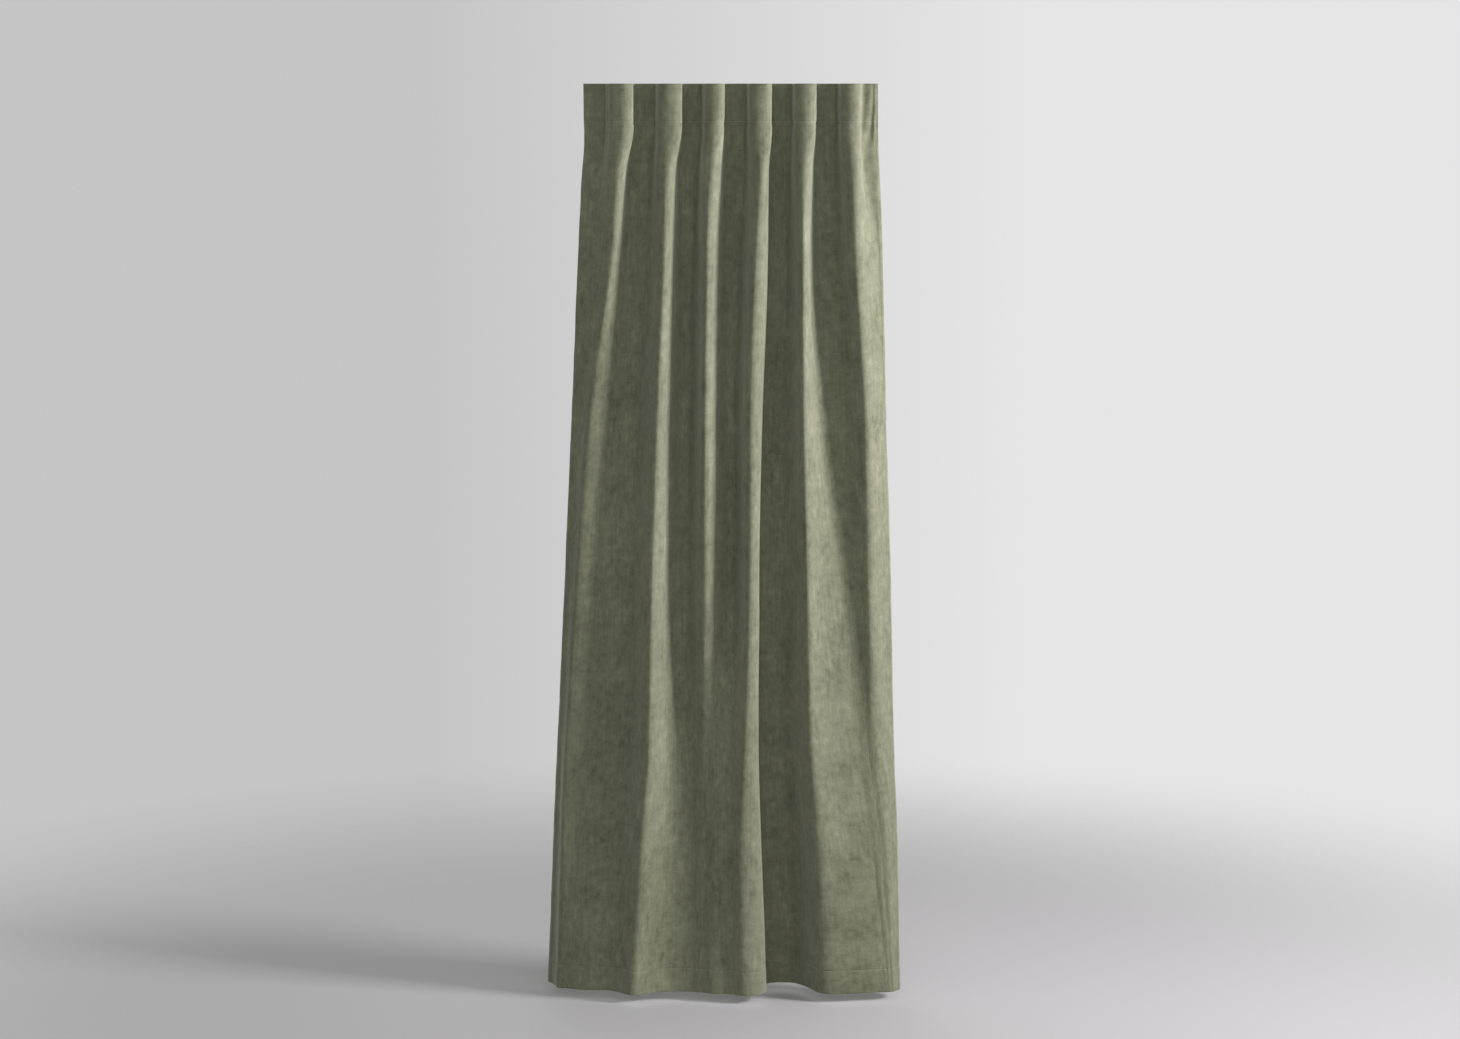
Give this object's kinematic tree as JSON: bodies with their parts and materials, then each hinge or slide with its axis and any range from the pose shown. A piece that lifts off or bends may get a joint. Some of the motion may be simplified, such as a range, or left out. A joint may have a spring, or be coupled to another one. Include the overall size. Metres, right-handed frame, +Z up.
{
  "type": "curtain panel",
  "caption": "Floor-length fabric curtain panel on a heading tape with hidden loops, hanging in soft vertical folds from a straight pole.",
  "frame": {"origin": "on the axis of the pole, at the middle of the heading", "axes": "+X along the pole towards the leading edge, -Y towards the room, +Z up"},
  "size_m": [0.988, 0.1763, 2.5021],
  "materials": {
    "face_cloth": "sage green cotton chenille, short matt pile with slubs",
    "hem_cloth": "the same sage chenille, turned twice",
    "heading_tape": "off-white woven polyester tape",
    "loop_webbing": "off-white ribbed webbing",
    "draw_cord": "white braided polyester cord",
    "thread": "sage green polyester sewing thread",
    "care_label": "blank white satin ribbon"
  },
  "bodies": {
    "fixed_end": {"face_cloth_1": "face_cloth", "heading_tape_1": "heading_tape", "bottom_hem_1": "hem_cloth", "hidden_loop_1": "loop_webbing", "side_hem_left": "hem_cloth", "side_seam_left": "thread", "care_label": "care_label", "heading_seam_top": "thread", "heading_seam_middle": "thread", "heading_seam_low": "thread", "bottom_hem_seam": "thread", "draw_cord_upper": "draw_cord", "draw_cord_lower": "draw_cord", "cord_knot_upper_left": "draw_cord", "cord_knot_lower_left": "draw_cord"},
    "loop_carrier_2": {"face_cloth_2": "face_cloth", "heading_tape_2": "heading_tape", "bottom_hem_2": "hem_cloth", "hidden_loop_2": "loop_webbing"},
    "loop_carrier_3": {"face_cloth_3": "face_cloth", "heading_tape_3": "heading_tape", "bottom_hem_3": "hem_cloth", "hidden_loop_3": "loop_webbing"},
    "loop_carrier_4": {"face_cloth_4": "face_cloth", "heading_tape_4": "heading_tape", "bottom_hem_4": "hem_cloth", "hidden_loop_4": "loop_webbing"},
    "loop_carrier_5": {"face_cloth_5": "face_cloth", "heading_tape_5": "heading_tape", "bottom_hem_5": "hem_cloth", "hidden_loop_5": "loop_webbing"},
    "loop_carrier_6": {"face_cloth_6": "face_cloth", "heading_tape_6": "heading_tape", "bottom_hem_6": "hem_cloth", "hidden_loop_6": "loop_webbing"},
    "leading_edge": {"face_cloth_7": "face_cloth", "heading_tape_7": "heading_tape", "bottom_hem_7": "hem_cloth", "hidden_loop_7": "loop_webbing", "side_hem_right": "hem_cloth", "side_seam_right": "thread", "cord_knot_upper_right": "draw_cord", "cord_knot_lower_right": "draw_cord"}
  },
  "joints": [
    {"name": "draw", "type": "slide", "parent": "fixed_end", "child": "leading_edge", "axis": [1, 0, 0], "range_m": [-0.48, 0], "deforming": ["face_cloth_7", "heading_tape_7", "bottom_hem_7", "face_cloth_1", "heading_tape_1", "bottom_hem_1", "side_hem_right", "side_seam_right", "side_hem_left", "side_seam_left", "care_label", "heading_seam_top", "heading_seam_middle", "heading_seam_low", "bottom_hem_seam", "draw_cord_upper", "draw_cord_lower"]},
    {"name": "loop_2_slide", "type": "slide", "parent": "fixed_end", "child": "loop_carrier_2", "axis": [1, 0, 0], "range_m": [-0.0921, 0], "deforming": ["face_cloth_2", "heading_tape_2", "bottom_hem_2"]},
    {"name": "loop_3_slide", "type": "slide", "parent": "fixed_end", "child": "loop_carrier_3", "axis": [1, 0, 0], "range_m": [-0.1732, 0], "deforming": ["face_cloth_3", "heading_tape_3", "bottom_hem_3"]},
    {"name": "loop_4_slide", "type": "slide", "parent": "fixed_end", "child": "loop_carrier_4", "axis": [1, 0, 0], "range_m": [-0.2504, 0], "deforming": ["face_cloth_4", "heading_tape_4", "bottom_hem_4"]},
    {"name": "loop_5_slide", "type": "slide", "parent": "fixed_end", "child": "loop_carrier_5", "axis": [1, 0, 0], "range_m": [-0.3295, 0], "deforming": ["face_cloth_5", "heading_tape_5", "bottom_hem_5"]},
    {"name": "loop_6_slide", "type": "slide", "parent": "fixed_end", "child": "loop_carrier_6", "axis": [1, 0, 0], "range_m": [-0.4087, 0], "deforming": ["face_cloth_6", "heading_tape_6", "bottom_hem_6"]}
  ],
  "couplings": [
    {"joint": "loop_2_slide", "follows": "draw", "ratio": 0.19169},
    {"joint": "loop_3_slide", "follows": "draw", "ratio": 0.36059},
    {"joint": "loop_4_slide", "follows": "draw", "ratio": 0.52145},
    {"joint": "loop_5_slide", "follows": "draw", "ratio": 0.68633},
    {"joint": "loop_6_slide", "follows": "draw", "ratio": 0.85121}
  ]
}
